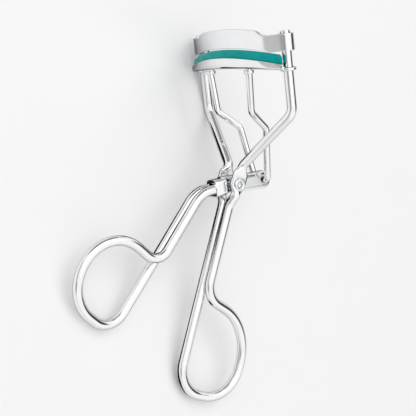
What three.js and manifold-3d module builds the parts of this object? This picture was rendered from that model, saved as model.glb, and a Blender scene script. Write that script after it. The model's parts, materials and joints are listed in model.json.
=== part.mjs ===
// Eyelash curler: a bent-wire frame with two posts and a finger loop, a fixed upper jaw, a
// sliding lower jaw with a soft pad, a push wire, and a pivoted lever with its own finger loop.
//
// The tool is built in its own frame and then laid on the table. In the tool frame X runs
// across the jaws, along the pivot, Z runs up the posts, and -Y is the side to which the jaws
// bulge. Its origin is halfway between the bends at the feet of the posts. Millimetres.
import * as THREE from "three";
import { mergeVertices } from "three/addons/utils/BufferGeometryUtils.js";
import Module from "manifold-3d";

const wasm = await Module();
wasm.setup();

// ---- Driving sizes ----

const GAP = 0.3; // between pieces that touch on the real tool
const ROUND_SIDES = 12; // sides of a wire's section
const CURVE_SEGMENTS = 10;

// Frame wire
const POST_SPACING = 34.5; // between the axes of the two posts
const FRAME_WIRE = 2.6; // diameter
const POST_TOP = 21.7; // above the bend at the foot of the post
const POST_BEND = 4.5; // bend radius at the foot of a post
const FOLD = 26.5; // degrees by which legs and handle lean towards -Y
const LUG_ABOVE_PIVOT = 5.3; // from the pivot up its leg, where the flat lug begins
const LUG_LENGTH = 8.0;
const LUG_WIDTH = 5.0;
const LUG_THICKNESS = 1.1;
const PIVOT_DOWN = 20.5; // from the bend to the pivot, down the folded plane
const SHANK_BELOW_PIVOT = 5.5; // where the two wires of the handle lie side by side
const WIRE_PAIR_GAP = 0.1; // between the two wires of a handle
const FRAME_NECK = 52.3; // from the bend to the neck of the finger loop
const FRAME_LOOP = {
  length: 26.7,
  width: 19.0,
  neckTurn: 64,
  neckRadius: 6,
  shoulderRadius: 10,
  outerRadius: 9,
  innerRadius: 8,
};

// Lever and its handle
const LEVER_THICKNESS = 4.1; // over both cheeks of the folded plate
const LEVER_CHEEK = 0.65;
const LEVER_HEIGHT = 4.7;
const ARM_THICKNESS = 2.2; // the two leaves pressed together
const ARM_REACH = 11.3; // from the pivot to the eye for the push wire
const ARM_DROP = 5.2; // degrees by which the arm slopes down at rest
const EYE_RADIUS = 2.5;
const GRIP_REAR = 6.9; // from the pivot to the end of the crimped grip
const GRIP_FRONT = 3.1;
const HANDLE_WIRE = 2.6; // diameter
const HANDLE_TAB = 1.2; // thickness of a wire end pressed flat in the grip
const HANDLE_TAB_HEIGHT = 3.2;
const HANDLE_BEND_OUT = 11.6; // from the pivot to the handle's bend
const HANDLE_BEND = 8; // its radius
const HANDLE_LEAN = 47.2; // degrees between the handle and the posts
const HANDLE_NECK = 23.0; // from the handle's bend to the neck of the finger loop
const HANDLE_LOOP = {
  length: 21.4,
  width: 18.9,
  neckTurn: 82,
  neckRadius: 4.5,
  shoulderRadius: 8,
  outerRadius: 10.5,
  innerRadius: 6.5,
};

// Rivet
const RIVET = 2.2; // shank diameter
const RIVET_HEAD = 3.8;
const RIVET_HEAD_HEIGHT = 0.7;
const RIVET_SOCKET = 1.5; // bore of the tubular end
const RIVET_SOCKET_DEPTH = 1.1;

// Jaws
const JAW_BULGE = 6.3; // of the jaws' middle line, in front of the posts
const JAW_ARCH = 2.0; // rise of the jaws' middle over their ends
const FLOOR_ARCH = 0.93; // the same of the channel's floor
const PAD_FLOOR_ARCH = 1.3; // the same of the pad's underside
const ARCH_INSET = 1.05; // from a post's axis in to where those rises are measured
const CHANNEL_INSET = 0.55; // from a post's axis in to the channel's end, on its middle line
const CHANNEL_BOTTOM = 12.86; // its underside at the middle, above the bend
const CHANNEL_FLOOR = 0.8;
const CHANNEL_HEIGHT = 2.98;
const CHANNEL_WALL = 0.4;
const END_SLANT = 0.75; // lean of the jaws' ends, which clear the posts
const PAD_WIDTH = 2.1;
const PAD_HEIGHT = 3.15;
const PAD_INSET = 0.25; // from a post's axis in to the pad's end, on its middle line
const PAD_SIDE_GAP = 0.2;
const EAR_RADIUS = 2.1;
const EAR_THICKNESS = 0.9;
const EAR_DROP = 0.8; // of an ear's underside below the floor's ends
const NECK_HALF_WIDTH = 1.3; // of the neck between the channel and an ear
const SLIDE_GAP = 0.25; // round a post, in the ears of the lower jaw

// Upper jaw
const BAND = 0.7; // thickness of the sheet
const BAND_HEIGHT = 4.25;
const BAND_RAISE = 0.8; // of the middle's top edge over the sides
const BAND_RAISE_HALF = 11.0; // half length of the raised middle
const BAND_RAMP = 1.8;
const KNUCKLE_HEIGHT = 4.5;
const KNUCKLE_BORE_GAP = 0.15;
const KNUCKLE_SEAM = 0.4;

// Push wire
const PUSH_WIRE = 1.8; // diameter
const PUSH_FOOT_X = 7.9; // where the rods meet the lower jaw
const PUSH_KNEE = new THREE.Vector3(7.0, -5.2, 0.9); // upper bend of a rod
const PUSH_HOCK = new THREE.Vector3(5.4, 1.0, -4.5); // lower bend of a rod
const PUSH_END_X = 2.6; // rods beside the eye
const PUSH_BEND = 2.2; // radius of the rods' bends
const PUSH_EYE_BEND = 1.3; // radius where the rods turn in to the eye
const PUSH_HEAD = 2.1; // diameter of the peened head inside the channel
const PUSH_HEAD_HEIGHT = 0.5;
const PUSH_HEAD_LIFT = 0.35; // heads over, and collars under, the channel's floor
const PUSH_HOLE_GAP = 0.3;
const COLLAR = 2.7; // outer diameter
const COLLAR_HEIGHT = 1.0;
const COLLAR_BORE_GAP = 0.1;
const EYE_GAP = 0.55; // round the push wire, in the lever's eye

// ---- Sizes that follow ----

const half = POST_SPACING / 2;
const fold = THREE.MathUtils.degToRad(FOLD);
const lean = THREE.MathUtils.degToRad(HANDLE_LEAN);
const drop = THREE.MathUtils.degToRad(ARM_DROP);
const lugX = LEVER_THICKNESS / 2 + GAP + LUG_THICKNESS / 2;
const lugTop = PIVOT_DOWN - LUG_ABOVE_PIVOT;
const shankTop = PIVOT_DOWN + SHANK_BELOW_PIVOT;
const framePairX = (FRAME_WIRE + WIRE_PAIR_GAP) / 2;
const handlePairX = (HANDLE_WIRE + WIRE_PAIR_GAP) / 2;
const eyeBore = PUSH_WIRE / 2 + EYE_GAP;
const knuckleRadius = FRAME_WIRE / 2 + KNUCKLE_BORE_GAP + BAND;
const channelFloorTop = CHANNEL_BOTTOM + CHANNEL_FLOOR;
const padBottom = channelFloorTop + PUSH_HEAD_LIFT + PUSH_HEAD_HEIGHT + GAP;
const padTop = padBottom + PAD_HEIGHT;
const bandBottom = padTop + GAP;
const channelHalfWidth = PAD_WIDTH / 2 + PAD_SIDE_GAP + CHANNEL_WALL;
const earBottom = CHANNEL_BOTTOM - FLOOR_ARCH - EAR_DROP;
const archHalf = half - ARCH_INSET;
const channelHalf = half - CHANNEL_INSET;
const padHalf = half - PAD_INSET;
const archAtKnuckle = JAW_ARCH * ((half - knuckleRadius) / archHalf) ** 2;
const knuckleBottom = bandBottom - archAtKnuckle;

// The jaws' middle line is one arc that runs smoothly into the roll round each post.
const rollRadius = knuckleRadius - BAND / 2;
const arcRadius =
  (half * half + JAW_BULGE * JAW_BULGE - rollRadius * rollRadius) /
  (2 * (JAW_BULGE - rollRadius));
const arcCentreY = arcRadius - JAW_BULGE;
const arcEndX = (half * arcRadius) / (arcRadius - rollRadius);

// A point of the folded plane: x across, down the plane, and out of it towards +Y.
function folded(x, down, out = 0) {
  return new THREE.Vector3(
    x,
    -down * Math.sin(fold) + out * Math.cos(fold),
    -down * Math.cos(fold) - out * Math.sin(fold),
  );
}
const pivot = folded(0, PIVOT_DOWN);
const eye = new THREE.Vector3(
  0,
  pivot.y + ARM_REACH * Math.cos(drop),
  pivot.z - ARM_REACH * Math.sin(drop),
);
const handleCorner = new THREE.Vector3(0, pivot.y - HANDLE_BEND_OUT, pivot.z);

// A point of the handle's plane: x across, along the handle from its bend, and out of it.
function alongHandle(x, along, out = 0) {
  return new THREE.Vector3(
    x,
    handleCorner.y - along * Math.sin(lean) - out * Math.cos(lean),
    handleCorner.z - along * Math.cos(lean) + out * Math.sin(lean),
  );
}

// ---- Solids ----

function solidOf(geometry) {
  const bare = geometry.index ? geometry.toNonIndexed() : geometry.clone();
  bare.deleteAttribute("normal");
  bare.deleteAttribute("uv");
  const merged = mergeVertices(bare, 1e-4);
  return new wasm.Manifold(
    new wasm.Mesh({
      numProp: 3,
      vertProperties: merged.attributes.position.array,
      triVerts: new Uint32Array(merged.index.array),
    }),
  );
}

function geometryOf(solid) {
  const mesh = solid.getMesh();
  const geometry = new THREE.BufferGeometry();
  geometry.setAttribute("position", new THREE.BufferAttribute(mesh.vertProperties, 3));
  geometry.setIndex(new THREE.BufferAttribute(mesh.triVerts, 1));
  geometry.computeVertexNormals();
  return geometry;
}

// A shape drawn in XY, raised from z = low to z = high.
function raised(shape, low, high) {
  const geometry = new THREE.ExtrudeGeometry(shape, {
    depth: high - low,
    bevelEnabled: false,
    curveSegments: CURVE_SEGMENTS,
  });
  return solidOf(geometry.translate(0, 0, low));
}

// A shape drawn with x and z, run from y = near to y = far.
function throughY(shape, near, far) {
  const geometry = new THREE.ExtrudeGeometry(shape, {
    depth: far - near,
    bevelEnabled: false,
    curveSegments: CURVE_SEGMENTS,
  });
  return solidOf(geometry.rotateX(Math.PI / 2).translate(0, far, 0));
}

// A shape drawn with y and z, run from x = left to x = right.
function throughX(shape, left, right) {
  const geometry = new THREE.ExtrudeGeometry(shape, {
    depth: right - left,
    bevelEnabled: false,
    curveSegments: CURVE_SEGMENTS,
  });
  geometry.rotateY(Math.PI / 2).rotateX(Math.PI / 2);
  return solidOf(geometry.translate(left, 0, 0));
}

function postAt(x, radius, low, high) {
  const geometry = new THREE.CylinderGeometry(radius, radius, high - low, 20);
  return solidOf(geometry.rotateX(Math.PI / 2).translate(x, 0, (low + high) / 2));
}

// A path of straight runs whose corners are rounded, each { at, radius }.
function bentPath(corners) {
  const path = new THREE.CurvePath();
  let from = corners[0].at;
  corners.slice(1, -1).forEach((corner, i) => {
    const back = new THREE.Vector3().subVectors(corners[i].at, corner.at).normalize();
    const on = new THREE.Vector3().subVectors(corners[i + 2].at, corner.at).normalize();
    const turn = Math.PI - back.angleTo(on);
    const setBack = corner.radius * Math.tan(turn / 2);
    const reach = setBack - (4 / 3) * Math.tan(turn / 4) * corner.radius;
    const start = corner.at.clone().addScaledVector(back, setBack);
    const end = corner.at.clone().addScaledVector(on, setBack);
    path.add(new THREE.LineCurve3(from, start));
    path.add(
      new THREE.CubicBezierCurve3(
        start,
        corner.at.clone().addScaledVector(back, reach),
        corner.at.clone().addScaledVector(on, reach),
        end,
      ),
    );
    from = end;
  });
  path.add(new THREE.LineCurve3(from, corners.at(-1).at));
  return path;
}

// Round wire along a path, with a step every `step` millimetres.
function wireAlong(corners, diameter, step) {
  const path = bentPath(corners);
  path.arcLengthDivisions = 2000;
  const section = new THREE.Shape();
  for (let i = 0; i < ROUND_SIDES; i++) {
    const angle = (i / ROUND_SIDES) * 2 * Math.PI;
    const x = (diameter / 2) * Math.cos(angle);
    const y = (diameter / 2) * Math.sin(angle);
    if (i === 0) section.moveTo(x, y);
    else section.lineTo(x, y);
  }
  section.closePath();
  const geometry = new THREE.ExtrudeGeometry(section, {
    steps: Math.ceil(path.getLength() / step),
    bevelEnabled: false,
    extrudePath: path,
  });
  return solidOf(geometry);
}

// ---- Frame ----

// The corners of a finger loop from its neck round to the straight wire. place() turns
// across, along and out into a point, and the wire changes side as it goes round.
function loopCorners(loop, neck, sideX, place) {
  const slope = Math.tan(THREE.MathUtils.degToRad(loop.neckTurn));
  const end = neck + loop.length;
  return [
    { at: place(sideX, neck, 0), radius: loop.neckRadius },
    { at: place(sideX * 0.6, neck + loop.width / slope, loop.width), radius: loop.shoulderRadius },
    { at: place(0, end, loop.width), radius: loop.outerRadius },
    { at: place(-sideX, end, 0), radius: loop.innerRadius },
  ];
}

// A leg with its post, from the tip down to the top of the lug.
function legCorners(side) {
  const x = side * half;
  return [
    { at: new THREE.Vector3(x, 0, POST_TOP) },
    { at: new THREE.Vector3(x, 0, 0), radius: POST_BEND },
    { at: folded(side * lugX, lugTop), radius: 2.5 },
    { at: folded(side * lugX, lugTop + 2.2) },
  ];
}

// The flattened stretch of wire that the rivet goes through.
function lug(side) {
  const low = lugTop + 0.3;
  const high = lugTop + LUG_LENGTH;
  const wide = LUG_WIDTH / 2;
  const narrow = FRAME_WIRE / 2;
  const shape = new THREE.Shape();
  shape.moveTo(low, -narrow);
  shape.bezierCurveTo(low + 2, -narrow, low + 2, -wide, PIVOT_DOWN - 1, -wide);
  shape.lineTo(PIVOT_DOWN + 1, -wide);
  shape.bezierCurveTo(high - 2, -wide, high - 2, -narrow, high, -narrow);
  shape.lineTo(high, narrow);
  shape.bezierCurveTo(high - 2, narrow, high - 2, wide, PIVOT_DOWN + 1, wide);
  shape.lineTo(PIVOT_DOWN - 1, wide);
  shape.bezierCurveTo(low + 2, wide, low + 2, narrow, low, narrow);
  const hole = new THREE.Path();
  hole.absarc(PIVOT_DOWN, 0, RIVET / 2 + KNUCKLE_BORE_GAP, 0, 2 * Math.PI);
  shape.holes.push(hole);
  const geometry = new THREE.ExtrudeGeometry(shape, {
    depth: LUG_THICKNESS,
    bevelEnabled: false,
    curveSegments: CURVE_SEGMENTS,
  });
  // Drawn with x down the plane and y out of it, and thick along the tool's X.
  const down = folded(0, 1);
  const out = folded(0, 0, 1);
  const across = new THREE.Vector3().crossVectors(down, out);
  geometry.applyMatrix4(new THREE.Matrix4().makeBasis(down, out, across));
  const middle = side * lugX - (across.x * LUG_THICKNESS) / 2;
  return solidOf(geometry.translate(middle, 0, 0));
}

function frameWire() {
  const handle = [
    { at: folded(lugX, lugTop + LUG_LENGTH - 0.6) },
    { at: folded(lugX, lugTop + LUG_LENGTH + 0.6), radius: 3 },
    { at: folded(framePairX, shankTop), radius: 6 },
    ...loopCorners(FRAME_LOOP, FRAME_NECK, framePairX, folded),
    { at: folded(-framePairX, shankTop), radius: 6 },
    { at: folded(-lugX, lugTop + LUG_LENGTH + 0.6), radius: 3 },
    { at: folded(-lugX, lugTop + LUG_LENGTH - 0.6) },
  ];
  let solid = wireAlong(handle, FRAME_WIRE, 2.4);
  for (const side of [-1, 1]) {
    solid = solid.add(wireAlong(legCorners(side), FRAME_WIRE, 2.0)).add(lug(side));
  }
  return geometryOf(solid);
}

// ---- Jaws ----

// The strip of the jaws' arc between two offsets from its middle line, seen from above.
function arcStrip(inner, outer, halfLength, low, high, slant = 0) {
  const steps = 28;
  const shape = new THREE.Shape();
  for (const [offset, direction] of [
    [outer, 1],
    [inner, -1],
  ]) {
    const reach = Math.asin(halfLength / arcRadius) + (slant * offset) / (arcRadius + offset);
    for (let i = 0; i <= steps; i++) {
      const angle = direction * (-reach + (2 * reach * i) / steps);
      const x = (arcRadius + offset) * Math.sin(angle);
      const y = arcCentreY - (arcRadius + offset) * Math.cos(angle);
      if (direction === 1 && i === 0) shape.moveTo(x, y);
      else shape.lineTo(x, y);
    }
  }
  shape.closePath();
  return raised(shape, low, high);
}

// The height of an arched line at x, for a line whose middle is at z = middle.
function archAt(x, middle, rise = JAW_ARCH) {
  return middle - rise * (x / archHalf) ** 2;
}

// An arched band in front view, between two heights given at its middle.
function archedBand(low, high, halfLength, lowRise = JAW_ARCH, highRise = JAW_ARCH) {
  const shape = new THREE.Shape();
  const lowEnd = archAt(halfLength, low, lowRise);
  const highEnd = archAt(halfLength, high, highRise);
  shape.moveTo(-halfLength, lowEnd);
  shape.quadraticCurveTo(0, 2 * low - lowEnd, halfLength, lowEnd);
  shape.lineTo(halfLength, highEnd);
  shape.quadraticCurveTo(0, 2 * high - highEnd, -halfLength, highEnd);
  shape.closePath();
  return shape;
}

function arcYAt(x) {
  return arcCentreY - Math.sqrt(arcRadius * arcRadius - x * x);
}

function upperJaw() {
  const top = bandBottom + BAND_HEIGHT;
  const strip = arcStrip(-BAND / 2, BAND / 2, arcEndX, 0, POST_TOP + 10);
  const sides = throughY(archedBand(bandBottom, top, arcEndX + 1), -20, 10);
  const middle = new THREE.Shape();
  const foot = BAND_RAISE_HALF + BAND_RAMP;
  const shoulder = archAt(BAND_RAISE_HALF, top + BAND_RAISE);
  middle.moveTo(-foot, archAt(foot, top) - 1);
  middle.lineTo(foot, archAt(foot, top) - 1);
  middle.lineTo(foot, archAt(foot, top));
  middle.lineTo(BAND_RAISE_HALF, shoulder);
  middle.quadraticCurveTo(0, 2 * (top + BAND_RAISE) - shoulder, -BAND_RAISE_HALF, shoulder);
  middle.lineTo(-foot, archAt(foot, top));
  middle.closePath();
  let solid = strip.intersect(sides).add(strip.intersect(throughY(middle, -20, 10)));
  const knuckleTop = knuckleBottom + KNUCKLE_HEIGHT;
  for (const side of [-1, 1]) {
    solid = solid.add(postAt(side * half, knuckleRadius, knuckleBottom, knuckleTop));
  }
  for (const side of [-1, 1]) {
    const bore = FRAME_WIRE / 2 + KNUCKLE_BORE_GAP;
    solid = solid.subtract(postAt(side * half, bore, -5, POST_TOP + 5));
    // The seam where the rolled end meets the band again, on the inner side.
    const seam = new THREE.Shape();
    const inner = side * (half - knuckleRadius - 1);
    seam.moveTo(inner, 0.2);
    seam.lineTo(side * half, 0.2);
    seam.lineTo(side * half, 0.2 + KNUCKLE_SEAM);
    seam.lineTo(inner, 0.2 + KNUCKLE_SEAM);
    seam.closePath();
    solid = solid.subtract(raised(seam, 0, POST_TOP + 5));
  }
  return geometryOf(solid);
}

function lowerJaw() {
  const wide = channelHalfWidth;
  const inner = wide - CHANNEL_WALL;
  const rim = CHANNEL_BOTTOM + CHANNEL_HEIGHT;
  const outer = arcStrip(-wide, wide, channelHalf, 0, 30, END_SLANT);
  const groove = arcStrip(-inner, inner, half + 2, 0, 30);
  const body = archedBand(CHANNEL_BOTTOM, rim, channelHalf + 2, FLOOR_ARCH);
  const cavity = archedBand(channelFloorTop, rim + 5, channelHalf + 2, FLOOR_ARCH);
  let solid = outer.intersect(throughY(body, -20, 10));
  solid = solid.subtract(groove.intersect(throughY(cavity, -20, 10)));
  const neckTop = archAt(channelHalf, channelFloorTop, FLOOR_ARCH);
  const neck = arcStrip(-NECK_HALF_WIDTH, NECK_HALF_WIDTH, half, earBottom, neckTop - 0.05);
  const middle = arcStrip(-3, 3, channelHalf - 1.6, 0, 30);
  solid = solid.add(neck.subtract(middle));
  for (const side of [-1, 1]) {
    solid = solid.add(postAt(side * half, EAR_RADIUS, earBottom, earBottom + EAR_THICKNESS));
  }
  for (const side of [-1, 1]) {
    solid = solid.subtract(postAt(side * half, FRAME_WIRE / 2 + SLIDE_GAP, 0, 30));
    const hole = new THREE.CylinderGeometry(1, 1, 20, 20).rotateX(Math.PI / 2);
    const bore = PUSH_WIRE / 2 + PUSH_HOLE_GAP;
    hole.scale(bore, bore, 1);
    hole.translate(side * PUSH_FOOT_X, arcYAt(PUSH_FOOT_X), CHANNEL_BOTTOM);
    solid = solid.subtract(solidOf(hole));
  }
  return geometryOf(solid);
}

function pad() {
  const strip = arcStrip(-PAD_WIDTH / 2, PAD_WIDTH / 2, padHalf, 0, 30, END_SLANT);
  const sides = archedBand(padBottom, padTop, padHalf + 2, PAD_FLOOR_ARCH);
  return geometryOf(strip.intersect(throughY(sides, -20, 10)));
}

// ---- Push wire ----

const footZ = archAt(PUSH_FOOT_X, CHANNEL_BOTTOM, FLOOR_ARCH);
const footY = arcYAt(PUSH_FOOT_X);

function rodCorners(side) {
  const mirrored = (v) => new THREE.Vector3(side * v.x, v.y, v.z);
  const top = footZ + CHANNEL_FLOOR + PUSH_HEAD_LIFT + PUSH_HEAD_HEIGHT / 2;
  return [
    { at: mirrored(new THREE.Vector3(PUSH_FOOT_X, footY, top)) },
    { at: mirrored(new THREE.Vector3(PUSH_FOOT_X, footY, footZ - 2)), radius: 6 },
    { at: mirrored(PUSH_KNEE), radius: PUSH_BEND },
    { at: mirrored(PUSH_HOCK), radius: PUSH_BEND },
    { at: new THREE.Vector3(side * PUSH_END_X, eye.y, eye.z), radius: PUSH_EYE_BEND },
  ];
}

function pushWire() {
  let solid = wireAlong([...rodCorners(1), ...rodCorners(-1).reverse()], PUSH_WIRE, 1.1);
  const low = footZ + CHANNEL_FLOOR + PUSH_HEAD_LIFT;
  for (const side of [-1, 1]) {
    const head = new THREE.CylinderGeometry(
      PUSH_HEAD / 2 - 0.3,
      PUSH_HEAD / 2,
      PUSH_HEAD_HEIGHT,
      16,
    );
    head.rotateX(Math.PI / 2);
    head.translate(side * PUSH_FOOT_X, footY, low + PUSH_HEAD_HEIGHT / 2);
    solid = solid.add(solidOf(head));
  }
  return geometryOf(solid);
}

function collar(side) {
  const outer = COLLAR / 2;
  const bore = PUSH_WIRE / 2 + COLLAR_BORE_GAP;
  const profile = [
    new THREE.Vector2(bore, 0),
    new THREE.Vector2(outer - 0.2, 0),
    new THREE.Vector2(outer, 0.25),
    new THREE.Vector2(outer, COLLAR_HEIGHT),
    new THREE.Vector2(bore, COLLAR_HEIGHT),
    new THREE.Vector2(bore, 0),
  ];
  const geometry = new THREE.LatheGeometry(profile, 18).rotateX(Math.PI / 2);
  const z = footZ - PUSH_HEAD_LIFT - COLLAR_HEIGHT;
  return geometryOf(solidOf(geometry.translate(side * PUSH_FOOT_X, footY, z)));
}

// ---- Lever ----

function leverArm() {
  const tall = LEVER_HEIGHT / 2;
  const shape = new THREE.Shape();
  shape.moveTo(-GRIP_FRONT - 1, -tall);
  shape.lineTo(2, -tall);
  shape.lineTo(ARM_REACH * 0.7, -EYE_RADIUS * 0.9);
  shape.lineTo(ARM_REACH, -EYE_RADIUS);
  shape.absarc(ARM_REACH, 0, EYE_RADIUS, -Math.PI / 2, Math.PI / 2);
  shape.lineTo(ARM_REACH * 0.7, tall * 0.95);
  shape.lineTo(2, tall);
  shape.lineTo(-GRIP_FRONT - 1, tall);
  shape.closePath();
  const rivetHole = new THREE.Path();
  rivetHole.absarc(0, 0, RIVET / 2 + KNUCKLE_BORE_GAP, 0, 2 * Math.PI);
  const eyeHole = new THREE.Path();
  eyeHole.absarc(ARM_REACH, 0, eyeBore, 0, 2 * Math.PI);
  shape.holes.push(rivetHole, eyeHole);
  return throughX(shape, -ARM_THICKNESS / 2, ARM_THICKNESS / 2);
}

function box(x0, x1, y0, y1, z0, z1) {
  const geometry = new THREE.BoxGeometry(x1 - x0, y1 - y0, z1 - z0);
  return solidOf(geometry.translate((x0 + x1) / 2, (y0 + y1) / 2, (z0 + z1) / 2));
}

function leverPlate() {
  const wide = LEVER_THICKNESS / 2;
  const tall = LEVER_HEIGHT / 2;
  const section = new THREE.Shape();
  const corner = 1.1;
  section.moveTo(-wide, -tall + corner);
  section.quadraticCurveTo(-wide, -tall, -wide + corner, -tall);
  section.lineTo(wide - corner, -tall);
  section.quadraticCurveTo(wide, -tall, wide, -tall + corner);
  section.lineTo(wide, tall - corner);
  section.quadraticCurveTo(wide, tall, wide - corner, tall);
  section.lineTo(-wide + corner, tall);
  section.quadraticCurveTo(-wide, tall, -wide, tall - corner);
  section.closePath();
  const inner = wide - LEVER_CHEEK;
  const innerTall = HANDLE_TAB_HEIGHT / 2 + 0.15;
  const grip = throughY(section, -GRIP_REAR, -GRIP_FRONT)
    .subtract(box(-inner, inner, -GRIP_REAR - 1, -GRIP_FRONT - 0.9, -innerTall, innerTall))
    .subtract(box(-0.2, 0.2, -GRIP_REAR - 1, -GRIP_FRONT - 0.9, 0, tall + 1));
  const arm = leverArm();
  const turn = new THREE.Matrix4().makeRotationX(-drop);
  const armGeometry = geometryOf(arm).applyMatrix4(turn);
  armGeometry.deleteAttribute("normal");
  const solid = grip.add(solidOf(armGeometry).subtract(
    box(-inner, inner, -GRIP_REAR - 1, -GRIP_FRONT - 0.9, -innerTall, innerTall),
  ));
  return geometryOf(solid).translate(0, pivot.y, pivot.z);
}

function handleWire() {
  const exit = new THREE.Vector3(0, pivot.y - GRIP_REAR - GAP, pivot.z);
  const side = (x) => new THREE.Vector3(x, exit.y, exit.z);
  const corners = [
    { at: side(handlePairX) },
    { at: new THREE.Vector3(handlePairX, handleCorner.y, handleCorner.z), radius: HANDLE_BEND },
    ...loopCorners(HANDLE_LOOP, HANDLE_NECK, handlePairX, alongHandle),
    { at: new THREE.Vector3(-handlePairX, handleCorner.y, handleCorner.z), radius: HANDLE_BEND },
    { at: side(-handlePairX) },
  ];
  let solid = wireAlong(corners, HANDLE_WIRE, 2.2);
  const front = pivot.y - GRIP_FRONT - 1.2;
  for (const x of [WIRE_PAIR_GAP / 2, -WIRE_PAIR_GAP / 2 - HANDLE_TAB]) {
    const tall = HANDLE_TAB_HEIGHT / 2;
    const tab = box(x, x + HANDLE_TAB, exit.y - 0.8, front, exit.z - tall, exit.z + tall);
    solid = solid.add(tab);
  }
  return geometryOf(solid);
}

function rivet() {
  const inside = lugX + LUG_THICKNESS / 2 + 0.1;
  const shank = RIVET / 2;
  const head = RIVET_HEAD / 2;
  const outside = inside + RIVET_HEAD_HEIGHT;
  const socket = RIVET_SOCKET / 2;
  const profile = [
    new THREE.Vector2(0, -outside),
    new THREE.Vector2(head * 0.75, -outside + 0.15),
    new THREE.Vector2(head, -inside - 0.15),
    new THREE.Vector2(head, -inside),
    new THREE.Vector2(shank, -inside),
    new THREE.Vector2(shank, inside),
    new THREE.Vector2(head, inside),
    new THREE.Vector2(head, inside + 0.2),
    new THREE.Vector2(socket + 0.35, outside),
    new THREE.Vector2(socket, outside - 0.15),
    new THREE.Vector2(socket, outside - RIVET_SOCKET_DEPTH),
    new THREE.Vector2(0, outside - RIVET_SOCKET_DEPTH - 0.3),
  ];
  const geometry = new THREE.LatheGeometry(profile, 20).rotateZ(-Math.PI / 2);
  return geometryOf(solidOf(geometry.translate(0, pivot.y, pivot.z)));
}

// ---- Assembly ----

const chrome = { color: 0xdfe2e4, roughness: 0.12, metalness: 1 };
const steel = { color: 0xc9cdd0, roughness: 0.3, metalness: 1 };
const silicone = { color: 0x009a94, roughness: 0.45, metalness: 0 };

function piece(name, geometry, finish) {
  const mesh = new THREE.Mesh(geometry, new THREE.MeshStandardMaterial(finish));
  mesh.name = name;
  return mesh;
}

const tool = new THREE.Group();
tool.add(
  piece("frame_wire", frameWire(), chrome),
  piece("upper_jaw", upperJaw(), chrome),
  piece("lower_jaw", lowerJaw(), chrome),
  piece("jaw_pad", pad(), silicone),
  piece("push_wire", pushWire(), chrome),
  piece("push_collar_left", collar(-1), chrome),
  piece("push_collar_right", collar(1), chrome),
  piece("lever_plate", leverPlate(), chrome),
  piece("handle_wire", handleWire(), chrome),
  piece("pivot_rivet", rivet(), steel),
);

// The tool lies on its left side: the left knuckle and both finger loops touch the table.
function lowestPoint(name, up, topZ) {
  const position = tool.getObjectByName(name).geometry.getAttribute("position");
  const point = new THREE.Vector3();
  let lowest = null;
  for (let i = 0; i < position.count; i++) {
    point.fromBufferAttribute(position, i);
    if (point.z < topZ && (!lowest || point.dot(up) < lowest.dot(up))) lowest = point.clone();
  }
  return lowest;
}

function upFromTable() {
  const up = new THREE.Vector3(1, 0, 0);
  for (let pass = 0; pass < 8; pass++) {
    const knuckle = lowestPoint("upper_jaw", up, Infinity);
    const toFrameLoop = lowestPoint("frame_wire", up, pivot.z - 20).sub(knuckle);
    const toHandleLoop = lowestPoint("handle_wire", up, pivot.z - 10).sub(knuckle);
    up.crossVectors(toFrameLoop, toHandleLoop).normalize();
    if (up.x < 0) up.negate();
  }
  return up;
}

const up = upFromTable();
const alongPosts = new THREE.Vector3(0, 0, 1).addScaledVector(up, -up.z).normalize();
const sideways = new THREE.Vector3().crossVectors(alongPosts, up);
const laid = new THREE.Matrix4().makeBasis(sideways, alongPosts, up).transpose();
tool.quaternion.setFromRotationMatrix(laid);

const curler = new THREE.Group();
curler.add(tool);
const bounds = new THREE.Box3().setFromObject(curler, true);
const middle = bounds.getCenter(new THREE.Vector3());
tool.position.set(-middle.x, -middle.y, -bounds.min.z);

export default curler;
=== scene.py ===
import json
from math import asin, atan2, ceil, copysign, cos, pi, radians, sin, sqrt, tan

import bmesh
import bpy
from bpy.props import FloatProperty, FloatVectorProperty, IntProperty, PointerProperty
from bpy.types import Operator, Panel, PropertyGroup
from mathutils import Matrix, Quaternion, Vector


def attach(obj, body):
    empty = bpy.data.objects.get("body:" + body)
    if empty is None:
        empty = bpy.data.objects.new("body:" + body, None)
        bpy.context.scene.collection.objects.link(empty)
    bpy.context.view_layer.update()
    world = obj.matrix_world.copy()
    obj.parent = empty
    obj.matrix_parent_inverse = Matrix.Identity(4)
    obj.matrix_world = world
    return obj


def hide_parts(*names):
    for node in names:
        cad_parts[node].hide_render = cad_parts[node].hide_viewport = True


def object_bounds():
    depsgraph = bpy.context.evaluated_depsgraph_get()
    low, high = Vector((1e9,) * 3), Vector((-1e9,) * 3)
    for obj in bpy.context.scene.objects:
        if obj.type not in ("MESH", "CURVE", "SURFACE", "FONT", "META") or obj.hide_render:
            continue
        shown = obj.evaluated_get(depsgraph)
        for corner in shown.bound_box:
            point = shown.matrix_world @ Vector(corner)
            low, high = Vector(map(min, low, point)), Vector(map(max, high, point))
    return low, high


bl_info = {
    "name": "Eyelash Curler",
    "version": (1, 0, 0),
    "blender": (4, 5, 0),
    "location": "3D View > Sidebar > Curler",
    "description": "Models the wires, jaws, lever and rivet of an eyelash curler round its frame",
    "category": "Object",
}

# The tool's own frame: X runs across the jaws along the pivot, Z runs up the posts and -Y is
# the side to which the jaws bulge. The origin is halfway between the bends at the posts' feet.

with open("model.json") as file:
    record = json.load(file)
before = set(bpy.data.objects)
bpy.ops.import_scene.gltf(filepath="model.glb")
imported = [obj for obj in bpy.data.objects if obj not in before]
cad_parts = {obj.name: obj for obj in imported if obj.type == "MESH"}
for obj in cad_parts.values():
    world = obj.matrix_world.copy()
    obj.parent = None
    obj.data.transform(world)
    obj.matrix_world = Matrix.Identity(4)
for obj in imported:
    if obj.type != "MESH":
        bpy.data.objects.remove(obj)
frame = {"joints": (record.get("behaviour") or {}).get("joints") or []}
cad_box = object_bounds()

MM = 0.001

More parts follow.
